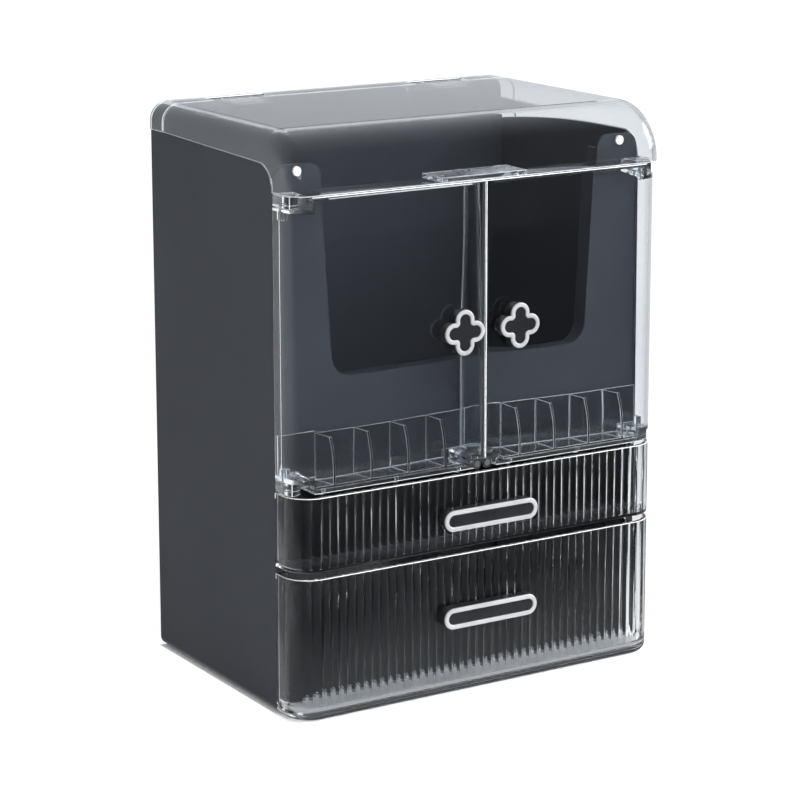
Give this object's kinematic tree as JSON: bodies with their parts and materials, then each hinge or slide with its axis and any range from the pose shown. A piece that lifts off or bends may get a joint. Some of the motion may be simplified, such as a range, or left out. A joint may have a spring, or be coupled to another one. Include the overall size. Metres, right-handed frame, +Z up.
{
  "type": "makeup organizer with drawer",
  "caption": "Tabletop make-up cabinet: dark case with a clear curved flip lid, clear hinged doors holding lipstick racks, and clear fluted-front drawers with slim handles.",
  "frame": {"origin": "on the table, under the middle of the whole cabinet's bounding box", "axes": "+X to the right seen from the front, +Y from the front to the back, +Z up"},
  "size_m": [0.27, 0.1924, 0.3621],
  "materials": {
    "dark_plastic": "gloss charcoal",
    "clear_plastic": "clear gloss moulding",
    "grip_black": "gloss black",
    "bright_rim": "plated bright rim",
    "rubber": "matt",
    "soft_bumper": "translucent white",
    "steel": "satin"
  },
  "bodies": {
    "cabinet": {"case_shell": "dark_plastic", "rubber_feet": "rubber", "drawer_shelf": "dark_plastic", "compartment_floor": "dark_plastic", "front_frame": "dark_plastic", "lid_bumpers": "soft_bumper", "rear_rail": "clear_plastic", "rear_hinge_left": "clear_plastic", "rear_hinge_right": "clear_plastic", "lid_hinge_pins": "steel", "door_bracket_upper_left": "clear_plastic", "door_bracket_upper_right": "clear_plastic", "door_bracket_lower_left": "clear_plastic", "door_bracket_lower_right": "clear_plastic", "door_hinge_pins": "steel", "bottom_catch": "clear_plastic", "bottom_catch_magnets": "steel"},
    "lid": {"lid_cover": "clear_plastic", "lid_hinge_arm_left": "clear_plastic", "lid_hinge_arm_right": "clear_plastic", "lid_catch_bar": "clear_plastic", "lid_catch_magnets": "steel"},
    "left_door": {"left_door_panel": "clear_plastic", "left_door_rack": "clear_plastic", "left_door_strikes": "steel", "left_knob_body": "grip_black", "left_knob_rim": "bright_rim", "left_knob_inlay": "grip_black", "left_knob_screw": "steel"},
    "right_door": {"right_door_panel": "clear_plastic", "right_door_rack": "clear_plastic", "right_door_strikes": "steel", "right_knob_body": "grip_black", "right_knob_rim": "bright_rim", "right_knob_inlay": "grip_black", "right_knob_screw": "steel"},
    "upper_drawer": {"upper_drawer_bin": "clear_plastic", "upper_handle_body": "grip_black", "upper_handle_rim": "bright_rim", "upper_handle_inlay": "grip_black", "upper_handle_screws": "steel"},
    "lower_drawer": {"lower_drawer_bin": "clear_plastic", "lower_handle_body": "grip_black", "lower_handle_rim": "bright_rim", "lower_handle_inlay": "grip_black", "lower_handle_screws": "steel"}
  },
  "joints": [
    {"name": "lid_hinge", "type": "hinge", "parent": "cabinet", "child": "lid", "pos_m": [0, 0.08925, 0.3598], "axis": [-1, 0, 0], "range_deg": [0, 100]},
    {"name": "left_door_hinge", "type": "hinge", "parent": "cabinet", "child": "left_door", "pos_m": [-0.1318, -0.06875, 0.235], "axis": [0, 0, -1], "range_deg": [0, 110]},
    {"name": "right_door_hinge", "type": "hinge", "parent": "cabinet", "child": "right_door", "pos_m": [0.1318, -0.06875, 0.235], "axis": [0, 0, 1], "range_deg": [0, 110]},
    {"name": "upper_drawer_slide", "type": "slide", "parent": "cabinet", "child": "upper_drawer", "axis": [0, -1, 0], "range_m": [0, 0.12]},
    {"name": "lower_drawer_slide", "type": "slide", "parent": "cabinet", "child": "lower_drawer", "axis": [0, -1, 0], "range_m": [0, 0.12]}
  ]
}
